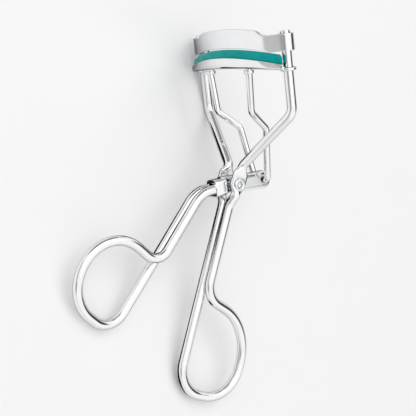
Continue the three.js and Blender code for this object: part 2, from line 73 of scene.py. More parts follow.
# How finely the pieces are made: steps along a bent wire and round a bore
FINE_STEP = 0.4 * MM
BORE_SIDES = 48
# Creases sharper than these are shaded sharp, or rounded off
SHADED_CREASE = radians(35)
ROUNDED_CREASE = radians(60)
# How far a drill goes past the sheet below and above
DRILL_BELOW = 5 * MM
DRILL_ABOVE = 10 * MM


def joint(name):
    return next(j for j in frame["joints"] if j["name"] == name)


def length(name, description, millimetres):
    return FloatProperty(
        name=name, description=description, default=millimetres * MM, unit="LENGTH", precision=5
    )


def angle(name, description, degrees):
    return FloatProperty(
        name=name, description=description, default=radians(degrees), subtype="ANGLE"
    )


def colour(name, description, value):
    return FloatVectorProperty(
        name=name, description=description, default=value, size=3, subtype="COLOR", min=0, max=1
    )


# ---- Sizes and colours ----


class CurlerFrameSizes(PropertyGroup):
    wire: length("Wire", "Diameter of the frame wire", 2.6)
    post_spacing: length("Post spacing", "Distance between the axes of the posts", 34.5)
    post_top: length("Post top", "Top of the posts above the bends at their feet", 21.7)
    post_bend: length("Post bend", "Bend radius at the foot of a post", 4.5)
    fold: angle("Fold", "Lean of the legs and handle towards the jaws' bulge", 26.5)
    lug_rise: length("Lug rise", "Where a leg is pressed flat, above the pivot", 5.3)
    lug_length: length("Lug length", "Length of the flat lug", 8.0)
    lug_width: length("Lug width", "Width of the flat lug", 5.0)
    lug_thickness: length("Lug thickness", "Thickness of the flat lug", 1.1)
    pivot_down: length("Pivot", "Pivot's place, down from the bends", 20.5)
    shank_drop: length("Shank drop", "Where the two wires meet, below the pivot", 5.5)
    neck: length("Neck", "Where the finger loop leaves the handle", 52.3)
    loop_length: length("Loop length", "Finger loop along the straight wire", 26.7)
    loop_width: length("Loop width", "Finger loop across, between wire axes", 19.0)
    neck_turn: angle("Neck turn", "Turn of the wire at the loop's neck", 76)
    neck_radius: length("Neck radius", "Bend radius at the loop's neck", 6)
    shoulder_radius: length("Shoulder radius", "Bend radius after the neck", 15)
    outer_radius: length("Outer radius", "Bend radius at the far outer corner", 9)
    inner_radius: length("Inner radius", "Bend radius at the straight wire's end", 8)


class CurlerHandleSizes(PropertyGroup):
    wire: length("Wire", "Diameter of the handle wire", 2.6)
    pair_gap: length("Pair gap", "Gap between the two wires of a handle", 0.1)
    bend_out: length("Bend", "Handle's bend, out from the pivot", 11.6)
    bend_radius: length("Bend radius", "Radius of the handle's bend", 8)
    lean: angle("Lean", "Angle between the handle and the posts", 47.2)
    neck: length("Neck", "Where the finger loop leaves the handle, from its bend", 23.0)
    loop_length: length("Loop length", "Finger loop along the straight wire", 21.4)
    loop_width: length("Loop width", "Finger loop across, between wire axes", 18.9)
    neck_turn: angle("Neck turn", "Turn of the wire at the loop's neck", 91.5)
    neck_radius: length("Neck radius", "Bend radius at the loop's neck", 4.5)
    shoulder_radius: length("Shoulder radius", "Bend radius after the neck", 10.8)
    outer_radius: length("Outer radius", "Bend radius at the far outer corner", 10.5)
    inner_radius: length("Inner radius", "Bend radius at the straight wire's end", 6.5)
    tab: length("Tab", "Thickness of a wire end pressed flat in the grip", 1.2)
    tab_height: length("Tab height", "Height of a wire end pressed flat in the grip", 2.7)


class CurlerLeverSizes(PropertyGroup):
    thickness: length("Thickness", "Lever over both cheeks", 4.1)
    cheek: length("Cheek", "Thickness of one cheek", 0.65)
    height: length("Height", "Height of the lever", 4.7)
    arm_thickness: length("Arm thickness", "The two leaves pressed together", 2.2)
    reach: length("Reach", "From the pivot to the eye for the push wire", 11.3)
    drop: angle("Drop", "Slope of the arm", 5.2)
    eye_radius: length("Eye radius", "Radius of the arm's rounded end", 2.5)
    eye_gap: length("Eye gap", "Clearance round the push wire in the eye", 0.55)
    grip_rear: length("Grip rear", "From the pivot to the open end of the grip", 6.9)
    grip_front: length("Grip front", "From the pivot to the front of the grip", 3.1)
    corner: length("Corner", "Rounding along the fold", 1.1)
    rivet: length("Rivet", "Rivet's shank diameter", 2.2)
    rivet_head: length("Rivet head", "Rivet's head diameter", 3.8)
    rivet_head_height: length("Head height", "Height of the rivet's head", 0.7)
    rivet_socket: length("Socket", "Bore of the rivet's rolled end", 1.5)
    rivet_depth: length("Socket depth", "Depth of the rivet's rolled end", 1.1)
    rivet_gap: length("Rivet gap", "Clearance round the rivet's shank", 0.15)


class CurlerJawSizes(PropertyGroup):
    bulge: length("Bulge", "Jaws' middle line, in front of the posts", 6.3)
    arch: length("Arch", "Rise of the jaws' middle over their ends", 2.0)
    floor_arch: length("Floor arch", "Rise of the channel's floor", 0.93)
    pad_arch: length("Pad floor arch", "Rise of the pad's underside", 1.3)
    arch_inset: length("Arch inset", "From a post in to where the rises are measured", 1.05)
    inset: length("Channel inset", "From a post in to the channel's end", 0.55)
    pad_inset: length("Pad inset", "From a post in to the pad's end", 0.25)
    end_slant: FloatProperty(
        name="End slant", description="Lean of the jaws' ends, which clear the posts", default=0.75
    )
    bottom: length("Channel bottom", "Underside of the channel's middle, above the bends", 12.86)
    channel_floor: length("Channel floor", "Thickness of the channel's floor", 0.8)
    channel_height: length("Channel height", "Height of the channel", 2.98)
    wall: length("Wall", "Thickness of the channel's walls", 0.4)
    corner: length("Channel corner", "Rounding along the channel's lower edges", 1.0)
    pad_width: length("Pad width", "Width of the pad", 2.1)
    pad_height: length("Pad height", "Height of the pad", 3.15)
    pad_gap: length("Pad gap", "Clearance on each side of the pad", 0.2)
    ear_radius: length("Ear radius", "Outer radius of an ear", 2.1)
    ear_thickness: length("Ear thickness", "Thickness of an ear", 0.9)
    ear_drop: length("Ear drop", "Ear's underside below the floor's ends", 0.6)
    slide_gap: length("Slide gap", "Clearance round a post in an ear", 0.25)
    band: length("Band", "Thickness of the upper jaw's sheet", 0.7)
    band_height: length("Band height", "Height of the upper jaw's band", 4.25)
    band_raise: length("Raise", "Rise of the middle's top edge", 0.8)
    raise_half: length("Raise half", "Half length of the raised middle", 11.0)
    ramp: length("Ramp", "Length of the slope beside the raised middle", 1.8)
    knuckle_gap: length("Knuckle gap", "Clearance round a post in a knuckle", 0.15)
    knuckle_height: length("Knuckle height", "Height of a knuckle", 4.5)
    touch: length("Touch", "Gap between pieces that touch", 0.3)


class CurlerPushSizes(PropertyGroup):
    wire: length("Wire", "Diameter of the push wire", 1.8)
    foot_x: length("Foot", "Rods at the lower jaw, from the middle", 7.9)
    knee_x: length("Knee X", "Upper bend, from the middle", 7.0)
    knee_y: length("Knee Y", "Upper bend, fore and aft", -5.2)
    knee_z: length("Knee Z", "Upper bend, above the bends of the posts", 0.9)
    hock_x: length("Hock X", "Lower bend, from the middle", 5.4)
    hock_y: length("Hock Y", "Lower bend, fore and aft", 1.0)
    hock_z: length("Hock Z", "Lower bend, above the bends of the posts", -4.5)
    end_x: length("End X", "Rods beside the eye, from the middle", 2.6)
    bend: length("Bend", "Radius of the rods' bends", 2.2)
    eye_bend: length("Eye bend", "Radius where the rods turn in to the eye", 1.3)
    head: length("Head", "Diameter of the peened head in the channel", 2.1)
    head_height: length("Head height", "Height of the peened head", 0.5)
    head_lift: length("Head lift", "Clearance over and under the channel's floor", 0.35)
    hole_gap: length("Hole gap", "Clearance round a rod in the channel's floor", 0.3)
    collar: length("Collar", "Outer diameter of a collar", 2.7)
    collar_height: length("Collar height", "Height of a collar", 1.0)
    collar_gap: length("Collar gap", "Clearance round a rod in its collar", 0.1)


class CurlerLook(PropertyGroup):
    chrome: colour("Chrome", "Colour of the plated wire and sheet", (0.93, 0.935, 0.945))
    silicone: colour("Silicone", "Colour of the pad", (0.0, 0.33, 0.315))
    floor: colour("Floor", "Colour of the table", (0.90, 0.90, 0.90))
    daylight: FloatProperty(
        name="Daylight", description="Brightness of the studio's walls", default=1.0, min=0
    )
    round_sides: IntProperty(
        name="Sides", description="Sides of a round wire's section", default=32, min=8
    )


class CurlerView(PropertyGroup):
    azimuth: angle("Azimuth", "Camera's direction round the posts", 51.5)
    elevation: angle("Elevation", "Camera's height over the jaws", 12.2)
    roll: angle("Roll", "Camera's turn about its own axis", -6.5)
    distance: length("Distance", "Camera's distance from what it looks at", 276)
    lens: FloatProperty(name="Lens", description="Focal length in millimetres", default=86.5)


GROUPS = {
    "curler_frame": CurlerFrameSizes,
    "curler_handle": CurlerHandleSizes,
    "curler_lever": CurlerLeverSizes,
    "curler_jaw": CurlerJawSizes,
    "curler_push": CurlerPushSizes,
    "curler_look": CurlerLook,
    "curler_view": CurlerView,
}


def sizes(group):
    return getattr(bpy.context.scene, "curler_" + group)


# ---- Places in the tool's frame ----


def folded(x, down, out=0):
    """A point of the plane of the legs and the frame's handle."""
    fold = sizes("frame").fold
    y = -down * sin(fold) + out * cos(fold)
    return Vector((x, y, -down * cos(fold) - out * sin(fold)))


def pivot():
    return folded(0, sizes("frame").pivot_down)


def handle_corner():
    return pivot() - Vector((0, sizes("handle").bend_out, 0))


def along_handle(x, along, out=0):
    """A point of the plane of the moving handle."""
    lean = sizes("handle").lean
    y = -along * sin(lean) - out * cos(lean)
    return handle_corner() + Vector((x, y, -along * cos(lean) + out * sin(lean)))


def eye():
    lever = sizes("lever")
    drop = lever.drop
    return pivot() + lever.reach * Vector((0, cos(drop), -sin(drop)))


def tool_to_row():
    """The matrix from the tool's frame to the row's, from the joints."""
    across = Vector(joint("lever_hinge")["axis"])
    up = Vector(joint("jaw_slide")["axis"])
    turn = Matrix((across, up.cross(across), up)).transposed().to_4x4()
    return Matrix.Translation(Vector(joint("lever_hinge")["pos_m"]) - turn @ pivot()) @ turn


def half_spacing():
    return sizes("frame").post_spacing / 2


def roll_radius():
    """From a post's axis to the middle of the sheet rolled round it."""
    jaw = sizes("jaw")
    return sizes("frame").wire / 2 + jaw.knuckle_gap + jaw.band / 2


def jaw_radius():
    """Radius of the jaws' middle line, which runs smoothly into both rolls."""
    bulge = sizes("jaw").bulge
    roll = roll_radius()
    return (half_spacing() ** 2 + bulge**2 - roll**2) / (2 * (bulge - roll))


def jaw_centre():
    return Vector((0, jaw_radius() - sizes("jaw").bulge, 0))


def jaw_y(x):
    return jaw_centre().y - sqrt(jaw_radius() ** 2 - x**2)


def arch_share(x):
    """How much of an arch's rise is lost at x."""
    return (x / (half_spacing() - sizes("jaw").arch_inset)) ** 2


def arch_drop(x):
    """How far an arched edge has come down at x from its middle."""
    return sizes("jaw").arch * arch_share(x)


def underside(x):
    """Height of the channel's underside at x."""
    return sizes("jaw").bottom - sizes("jaw").floor_arch * arch_share(x)


def pad_bottom():
    jaw = sizes("jaw")
    push = sizes("push")
    return jaw.bottom + jaw.channel_floor + push.head_lift + push.head_height + jaw.touch


def band_bottom():
    return pad_bottom() + sizes("jaw").pad_height + sizes("jaw").touch


# ---- Mesh tools ----


def rounded_route(corners, run_step=2.0 * MM, turn_step=radians(3)):
    """Points along straight runs whose corners are arcs. Each corner is a point and a radius."""
    points = [corners[0][0]]

    def run_to(point):
        start = points[-1]
        count = max(1, ceil((point - start).length / run_step))
        points.extend(start.lerp(point, i / count) for i in range(1, count + 1))

    for (before, _), (corner, radius), (after, _) in zip(corners, corners[1:], corners[2:]):
        if not radius:
            run_to(corner)
            continue
        back = (before - corner).normalized()
        on = (after - corner).normalized()
        turn = pi - back.angle(on)
        start = corner + back * radius * tan(turn / 2)
        centre = corner + (back + on).normalized() * radius / cos(turn / 2)
        axis = (-back).cross(on).normalized()
        count = max(2, ceil(turn / turn_step))
        run_to(start)
        turns = [turn * i / count for i in range(1, count + 1)]
        points.extend(centre + Quaternion(axis, part) @ (start - centre) for part in turns)
    run_to(corners[-1][0])
    return points


def wire_bmesh(points, diameter):
    """A round wire along a route, with closed ends."""
    curve = bpy.data.curves.new("route", "CURVE")
    curve.dimensions = "3D"
    curve.bevel_depth = diameter / 2
    curve.bevel_resolution = (sizes("look").round_sides - 4) // 2
    curve.use_fill_caps = True
    spline = curve.splines.new("POLY")
    spline.points.add(len(points) - 1)
    for place, point in zip(spline.points, points):
        place.co = (*point, 1)
    holder = bpy.data.objects.new("route", curve)
    mesh = bpy.data.meshes.new_from_object(holder)
    bm = bmesh.new()
    bm.from_mesh(mesh)
    bmesh.ops.remove_doubles(bm, verts=bm.verts, dist=1e-7)
    face_outward(bm)
    bpy.data.objects.remove(holder)
    bpy.data.curves.remove(curve)
    bpy.data.meshes.remove(mesh)
    return bm


def round_off(bm, edges, width, segments=3):
    rounding = {"segments": segments, "profile": 0.5, "material": -1, "clamp_overlap": True}
    bmesh.ops.bevel(
        bm, geom=edges, offset=width, offset_type="OFFSET", affect="EDGES", **rounding
    )
    bmesh.ops.dissolve_degenerate(bm, dist=3e-6, edges=bm.edges)


def sharp_edges(bm, least=SHADED_CREASE):
    return [e for e in bm.edges if len(e.link_faces) == 2 and e.calc_face_angle(0) > least]


def face_outward(bm):
    bmesh.ops.recalc_face_normals(bm, faces=bm.faces)


def round_creases(bm, width, segments=3, least=ROUNDED_CREASE):
    face_outward(bm)
    round_off(bm, sharp_edges(bm, least), width, segments)


def smoothstep(value):
    value = min(1, max(0, value))
    return value * value * (3 - 2 * value)


def new_object(name, data):
    item = bpy.data.objects.new(name, data)
    bpy.context.scene.collection.objects.link(item)
    return item


def add_object(bm, name, material=None):
    """Makes an object of a finished mesh."""
    mesh = bpy.data.meshes.new(name)
    bm.to_mesh(mesh)
    bm.free()
    if material:
        mesh.materials.append(material)
    return new_object(name, mesh)


def finish_piece(bm, name, body, material, *nodes):
    """Puts a mesh made in the tool's frame in its place as a piece that stands for CAD nodes."""
    for face in bm.faces:
        face.smooth = True
    for edge in sharp_edges(bm):
        edge.smooth = False
    piece = add_object(bm, name, material)
    piece.data.transform(tool_to_row())
    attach(piece, body)
    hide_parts(*nodes)


def combined(first, second, operation):
    """One bmesh joined with, or cut by, another."""
    blanks = [add_object(bm, "blank") for bm in (first, second)]
    modifier = blanks[0].modifiers.new("join", "BOOLEAN")
    modifier.operation = operation
    modifier.object = blanks[1]
    modifier.solver = "MANIFOLD"
    bpy.context.view_layer.update()
    ready = blanks[0].evaluated_get(bpy.context.evaluated_depsgraph_get())
    mesh = bpy.data.meshes.new_from_object(ready)
    result = bmesh.new()
    result.from_mesh(mesh)
    bmesh.ops.remove_doubles(result, verts=result.verts, dist=2e-6)
    bpy.data.meshes.remove(mesh)
    for blank in blanks:
        used = blank.data
        bpy.data.objects.remove(blank)
        bpy.data.meshes.remove(used)
    return result


def cylinder(place, radius, depth):
    bm = bmesh.new()
    shape = {"radius1": radius, "radius2": radius, "depth": depth, "segments": BORE_SIDES}
    bmesh.ops.create_cone(bm, cap_ends=True, matrix=place, **shape)
    return bm


def upright_cylinder(centre, radius, low, high):
    return cylinder(Matrix.Translation((centre.x, centre.y, (low + high) / 2)), radius, high - low)


def cross_cylinder(centre, radius, width):
    across = Matrix.Rotation(pi / 2, 4, "Y")
    return cylinder(Matrix.Translation(centre) @ across, radius, width)


def block(low, high):
    bm = bmesh.new()
    size = Vector(high) - Vector(low)
    place = Matrix.Translation((Vector(low) + Vector(high)) / 2)
    bmesh.ops.create_cube(bm, size=1, matrix=place @ Matrix.Diagonal((*size, 1)))
    return bm


def arc(centre, across, up, first, last, steps):
    """Points of an ellipse's arc about a centre, from one angle to another."""
    turns = [first + (last - first) * i / steps for i in range(steps + 1)]
    return [(centre[0] + across * cos(t), centre[1] + up * sin(t)) for t in turns]


def pulled_out(bm, face):
    """The new corners of a face that is to be pulled out of its place."""
    moved = bmesh.ops.extrude_face_region(bm, geom=[face])
    return [v for v in moved["geom"] if isinstance(v, bmesh.types.BMVert)]


def turned(profile, centre, axis, steps=BORE_SIDES):
    """A solid of revolution of (radius, height) points about an axis through centre."""
    bm = bmesh.new()
    turn = Vector((0, 0, 1)).rotation_difference(axis)
    verts = [bm.verts.new(centre + turn @ Vector((r, 0, h))) for r, h in profile]
    edges = [bm.edges.new(pair) for pair in zip(verts, verts[1:])]
    circle = {"cent": centre, "axis": axis, "angle": 2 * pi, "steps": steps}
    bmesh.ops.spin(bm, geom=verts + edges, use_merge=True, **circle)
    bmesh.ops.remove_doubles(bm, verts=bm.verts, dist=1e-7)
    face_outward(bm)
    return bm


def swept_section(outline, half_length, steps=64, slant=0):
    """A section of (offset, height) points swept along the jaws' arc, both ends closed."""
    centre = jaw_centre()
    radius = jaw_radius()
    reach = asin(half_length / radius)
    bm = bmesh.new()
    verts = [bm.verts.new(centre + Vector((0, -(radius + off), h))) for off, h in outline]
    face = bm.faces.new(verts)
    bmesh.ops.rotate(bm, verts=verts, cent=centre, matrix=Matrix.Rotation(-reach, 3, "Z"))
    bmesh.ops.spin(bm, geom=[face], cent=centre, axis=(0, 0, 1), angle=2 * reach, steps=steps)
    face_outward(bm)
    if slant:
        for vert in bm.verts:
            spoke = Vector((vert.co.x - centre.x, vert.co.y - centre.y, 0))
            off = spoke.length - radius
            turn = atan2(vert.co.x, centre.y - vert.co.y)
            swing = turn / reach * slant * off / spoke.length
            vert.co += Quaternion((0, 0, 1), swing) @ spoke - spoke
    return bm


def arch(bm, low, low_rise, high, high_rise):
    """Bends a piece that stands on height 0 to lie between two arched lines."""
    for vert in bm.verts:
        share = arch_share(vert.co.x)
        bottom = low - low_rise * share
        top = high - high_rise * share
        vert.co.z = bottom + (top - bottom) * vert.co.z / (high - low)


# ---- Materials ----


def new_material(name):
    material = bpy.data.materials.new(name)
    material.use_nodes = True
    nodes = material.node_tree.nodes
    place = nodes.new("ShaderNodeTexCoord")
    mapping = nodes.new("ShaderNodeMapping")
    lead(place.outputs["Object"], mapping.inputs["Vector"])
    return material, nodes["Principled BSDF"], mapping


def lead(output, socket):
    """Leads one node's output into another's socket."""
    output.id_data.links.new(output, socket)


def new_node(beside, kind):
    """A node in the same tree as another node or socket."""
    return beside.id_data.nodes.new("ShaderNode" + kind)


def settle(node, values):
    """Sets a node's sockets by their names."""
    for socket, value in values.items():
        node.inputs[socket].default_value = value


def noise(mapping, scale, detail=3):
    texture = new_node(mapping, "TexNoise")
    settle(texture, {"Scale": scale, "Detail": detail})
    lead(mapping.outputs["Vector"], texture.inputs["Vector"])
    return texture.outputs["Fac"]


def roughen(shader, value, low, high):
    """Spreads a texture's usual 0.3 to 0.7 over a range of roughness."""
    node = new_node(shader, "MapRange")
    settle(node, {"From Min": 0.3, "From Max": 0.7, "To Min": low, "To Max": high})
    lead(value, node.inputs["Value"])
    lead(node.outputs["Result"], shader.inputs["Roughness"])


def bump(shader, height, strength):
    node = new_node(shader, "Bump")
    settle(node, {"Strength": strength, "Distance": UNEVENNESS})
    lead(height, node.inputs["Height"])
    lead(node.outputs["Normal"], shader.inputs["Normal"])


def tint(shader, value, dark, light):
    """Colours a surface between two shades by a texture."""
    ramp = new_node(shader, "ValToRGB")
    for element, place, shown in zip(ramp.color_ramp.elements, (0.35, 0.65), (dark, light)):
        element.position = place
        element.color = (*shown, 1)
    lead(value, ramp.inputs["Fac"])
    lead(ramp.outputs["Color"], shader.inputs["Base Color"])


def shade(colour_value, factor):
    return tuple(min(1.0, channel * factor) for channel in colour_value)


# Each plating's lowest and highest roughness, and how dark its clouding goes
PLATINGS = {
    "wire_chrome": (0.03, 0.09, 0.96),
    "sheet_chrome": (0.05, 0.14, 0.96),
    "rivet_steel": (0.12, 0.24, 0.9),
}
# The plating's colour where it is seen along its surface
EDGE_TINT = (0.25, 0.25, 0.27, 1)
# How deep the small unevenness of every surface is, in metres
UNEVENNESS = 0.00002


def plating(name):
    """Polished plating: faint clouding, fine wipe marks and a slightly uneven surface."""
    if name in bpy.data.materials:
        return bpy.data.materials[name]
    smooth, rough, darkest = PLATINGS[name]
    material, shader, mapping = new_material(name)
    base = sizes("look").chrome
    settle(shader, {"Metallic": 1, "Specular Tint": EDGE_TINT})
    tint(shader, noise(mapping, 260), shade(base, darkest), tuple(base))
    roughen(shader, noise(mapping, 2400, 5), smooth, rough)
    bump(shader, noise(mapping, 900, 2), 0.08)
    return material


def silicone():
    material, shader, mapping = new_material("silicone")
    base = sizes("look").silicone
    tint(shader, noise(mapping, 320), shade(base, 0.9), shade(base, 1.06))
    roughen(shader, noise(mapping, 1800, 4), 0.12, 0.2)
    settle(shader, {"Specular IOR Level": 0.14, "Subsurface Weight": 0.05})
    settle(shader, {"Subsurface Radius": (0.0004, 0.0012, 0.0012), "Subsurface Scale": 1})
    bump(shader, noise(mapping, 3000, 2), 0.06)
    return material


# ---- Pieces ----


def loop_corners(size, side_x, place):
    """The corners of a finger loop, from its neck round to the straight wire."""
    slope = tan(size.neck_turn)
    end = size.neck + size.loop_length
    width = size.loop_width
    return [
        (place(side_x, size.neck, 0), size.neck_radius),
        (place(side_x * 0.6, size.neck + width / slope, width), size.shoulder_radius),
        (place(0, end, width), size.outer_radius),
        (place(-side_x, end, 0), size.inner_radius),
    ]


def pair_x(size):
    """From the middle to each of a handle's two wires."""
    return (size.wire + sizes("handle").pair_gap) / 2


def lug_x():
    lever = sizes("lever")
    return lever.thickness / 2 + sizes("jaw").touch + sizes("frame").lug_thickness / 2


class CURLER_OT_frame_wire(Operator):
    """Bends the frame: two posts, two legs with flat lugs, and the handle with its loop"""

    bl_idname = "curler.frame_wire"
    bl_label = "Frame wire"

    LUG_BEND = 2.5 * MM
    SHANK_BEND = 5 * MM
    PRESS_FADE = 2.4 * MM
    END_ROUNDING = 0.35 * MM

    def leg(self, side):
        size = sizes("frame")
        x = side * half_spacing()
        lug_top = size.pivot_down - size.lug_rise
        end = lug_top + size.lug_length
        return [
            (Vector((x, 0, size.post_top)), 0),
            (Vector((x, 0, 0)), size.post_bend),
            (folded(side * lug_x(), lug_top), self.LUG_BEND),
            (folded(side * lug_x(), end + 0.4 * MM), self.LUG_BEND),
            (folded(side * pair_x(size), size.pivot_down + size.shank_drop), self.SHANK_BEND),
        ]

    def press_lugs(self, bm):
        """Presses the wire flat and wide where the rivet goes through it."""
        size = sizes("frame")
        down_way = folded(0, 1)
        out_way = folded(0, 0, 1)
        first = size.pivot_down - size.lug_rise + 0.3 * MM
        last = first + size.lug_length - 0.3 * MM
        flat_half = size.lug_thickness / 2
        widen = size.lug_width / size.wire
        for vert in bm.verts:
            down = vert.co.dot(down_way)
            if not first < down < last:
                continue
            edge = min(down - first, last - down)
            pressed = smoothstep(edge / self.PRESS_FADE)
            middle = copysign(lug_x(), vert.co.x)
            aside = vert.co.x - middle
            flat = max(-flat_half, min(flat_half, aside))
            vert.co.x = middle + aside + (flat - aside) * pressed
            out = vert.co.dot(out_way)
            vert.co += out_way * out * (widen - 1) * pressed

    def execute(self, context):
        size = sizes("frame")
        corners = self.leg(1)
        corners += loop_corners(size, pair_x(size), folded)
        corners += reversed(self.leg(-1))
        bm = wire_bmesh(rounded_route(corners, run_step=FINE_STEP), size.wire)
        self.press_lugs(bm)
        top = size.post_top - 0.1 * MM
        rims = [e for e in sharp_edges(bm) if min(v.co.z for v in e.verts) > top]
        round_off(bm, rims, self.END_ROUNDING)
        hole = sizes("lever").rivet / 2 + sizes("lever").rivet_gap
        bm = combined(bm, cross_cylinder(pivot(), hole, 4 * lug_x()), "DIFFERENCE")
        finish_piece(bm, "bent_frame_wire", "frame", plating("wire_chrome"), "frame_wire")
        return {"FINISHED"}


class CURLER_OT_handle_wire(Operator):
    """Bends the moving handle's wire, from the grip round the finger loop and back"""

    bl_idname = "curler.handle_wire"
    bl_label = "Handle wire"

    # How far before the grip's mouth a wire end starts to change, and over what length
    RAISE_BEFORE, RAISE_RUN = 1.3 * MM, 1.1 * MM
    PRESS_BEFORE, PRESS_RUN = 0.4 * MM, 0.5 * MM

    def execute(self, context):
        size = sizes("handle")
        lever = sizes("lever")
        x = pair_x(size)
        corner = handle_corner()
        front = pivot().y - lever.grip_front - 1.2 * MM
        mouth = pivot().y - lever.grip_rear
        turns = ((front, 0), (mouth, 0), (corner.y, size.bend_radius))
        corners = [(Vector((x, y, corner.z)), radius) for y, radius in turns]
        corners += loop_corners(size, x, along_handle)
        corners += [(Vector((-x, y, corner.z)), radius) for y, radius in reversed(turns)]
        bm = wire_bmesh(rounded_route(corners, run_step=FINE_STEP), size.wire)
        taller = size.tab_height / size.wire
        near = size.pair_gap / 2
        for vert in bm.verts:
            raised = smoothstep((vert.co.y - mouth + self.RAISE_BEFORE) / self.RAISE_RUN)
            pressed = smoothstep((vert.co.y - mouth + self.PRESS_BEFORE) / self.PRESS_RUN)
            if not raised:
                continue
            side = copysign(1, vert.co.x)
            flat = max(near, min(near + size.tab, abs(vert.co.x)))
            vert.co.x = side * (abs(vert.co.x) + (flat - abs(vert.co.x)) * pressed)
            vert.co.z = corner.z + (vert.co.z - corner.z) * (1 + (taller - 1) * raised)
        finish_piece(bm, "bent_handle_wire", "lever", plating("wire_chrome"), "handle_wire")
        return {"FINISHED"}


class CURLER_OT_push_wire(Operator):
    """Bends the push wire, with its peened heads and its two collars"""

    bl_idname = "curler.push_wire"
    bl_label = "Push wire"

    def foot(self, side):
        """Where a rod crosses the underside of the lower jaw."""
        push = sizes("push")
        x = push.foot_x
        return Vector((side * x, jaw_y(x), underside(x)))

    def rod(self, side):
        push = sizes("push")
        foot = self.foot(side)
        floor = sizes("jaw").channel_floor
        top = foot.z + floor + push.head_lift + push.head_height / 2
        return [
            (Vector((foot.x, foot.y, top)), 0),
            (Vector((foot.x, foot.y, foot.z - 2 * MM)), 6 * MM),
            (Vector((side * push.knee_x, push.knee_y, push.knee_z)), push.bend),
            (Vector((side * push.hock_x, push.hock_y, push.hock_z)), push.bend),
            (Vector((side * push.end_x, eye().y, eye().z)), push.eye_bend),
        ]

    def head(self, foot):
        """The peened end of a rod, inside the channel."""
        push = sizes("push")
        wide = push.head / 2
        tall = push.head_height
        lift = sizes("jaw").channel_floor + push.head_lift
        profile = [(0, 0), (wide, 0), (wide, tall * 0.5), (wide * 0.7, tall * 0.9), (0, tall)]
        return turned(profile, foot + Vector((0, 0, lift)), Vector((0, 0, 1)), steps=32)

    def collar(self, foot):
        push = sizes("push")
        outer = push.collar / 2
        bore = push.wire / 2 + push.collar_gap
        high = push.collar_height
        low_chamfer = 0.25 * MM
        step = 0.07 * MM
        high_chamfer = 0.1 * MM
        profile = [
            (bore, 0),
            (outer - low_chamfer, 0),
            (outer - step, step),
            (outer, low_chamfer),
            (outer, high - high_chamfer),
            (outer - high_chamfer, high),
            (bore, high),
            (bore, 0),
        ]
        base = Vector((foot.x, foot.y, foot.z - push.head_lift - high))
        return turned(profile, base, Vector((0, 0, 1)))

    def execute(self, context):
        corners = self.rod(1) + self.rod(-1)[::-1]
        bm = wire_bmesh(rounded_route(corners, turn_step=radians(4)), sizes("push").wire)
        for side, hand in ((1, "right"), (-1, "left")):
            foot = self.foot(side)
            bm = combined(bm, self.head(foot), "UNION")
            ring = self.collar(foot)
            names = ("turned_collar_" + hand, "push_collar_" + hand)
            finish_piece(ring, names[0], "push_link", plating("sheet_chrome"), names[1])
        finish_piece(bm, "bent_push_wire", "push_link", plating("wire_chrome"), "push_wire")
        return {"FINISHED"}


class CURLER_OT_upper_jaw(Operator):
    """Rolls the upper jaw from one sheet: the raised band and a knuckle round each post"""

    bl_idname = "curler.upper_jaw"
    bl_label = "Upper jaw"

    ROLL_TURN = radians(308)
    BLEND = 3.0 * MM

    def execute(self, context):
        jaw = sizes("jaw")
        radius = jaw_radius()
        roll = roll_radius()
        half = jaw.band / 2
        end_x = half_spacing() * radius / (radius - roll)
        rows = 10
        heights = [jaw.band_height * i / rows for i in range(rows + 1)]
        outline = [(half, h) for h in heights] + [(-half, h) for h in reversed(heights)]
        bm = swept_section(outline, end_x, steps=96)
        top = band_bottom() + jaw.band_height
        turn = self.ROLL_TURN - asin(end_x / radius)
        ends = [f for f in bm.faces if len(f.verts) == len(outline)]
        for side in (1, -1):
            end = next(f for f in ends if f.calc_center_median().x * side > 0)
            post = Vector((side * half_spacing(), 0, 0))
            bmesh.ops.spin(bm, geom=[end], cent=post, axis=(0, 0, side), angle=turn, steps=48)
            bmesh.ops.delete(bm, geom=[end], context="FACES")
        low = band_bottom()
        knuckle_low = low - arch_drop(half_spacing() - roll - half)
        for vert in bm.verts:
            x = abs(vert.co.x)
            share = vert.co.z / jaw.band_height
            lift = jaw.band_raise * smoothstep((jaw.raise_half + jaw.ramp - x) / jaw.ramp)
            bottom = low - arch_drop(x)
            upper = top - arch_drop(x) + lift
            blend = smoothstep((x - half_spacing() + roll + self.BLEND) / self.BLEND)
            bottom += (knuckle_low - bottom) * blend
            upper += (knuckle_low + jaw.knuckle_height - upper) * blend
            vert.co.z = bottom + (upper - bottom) * share
        round_creases(bm, 0.16 * MM)
        finish_piece(bm, "rolled_upper_jaw", "frame", plating("sheet_chrome"), "upper_jaw")
        return {"FINISHED"}


def rounded_channel(width, height, floor, wall, corner, steps=6):
    """The section of a channel with rounded lower corners, open at the top."""
    points = [(width, height)]
    points += arc((width - corner, corner), corner, -corner, 0, pi / 2, steps)
    points += [(-x, h) for x, h in reversed(points)]
    inner = width - wall
    points += [(-inner, height), (-inner, floor), (inner, floor), (inner, height)]
    return points


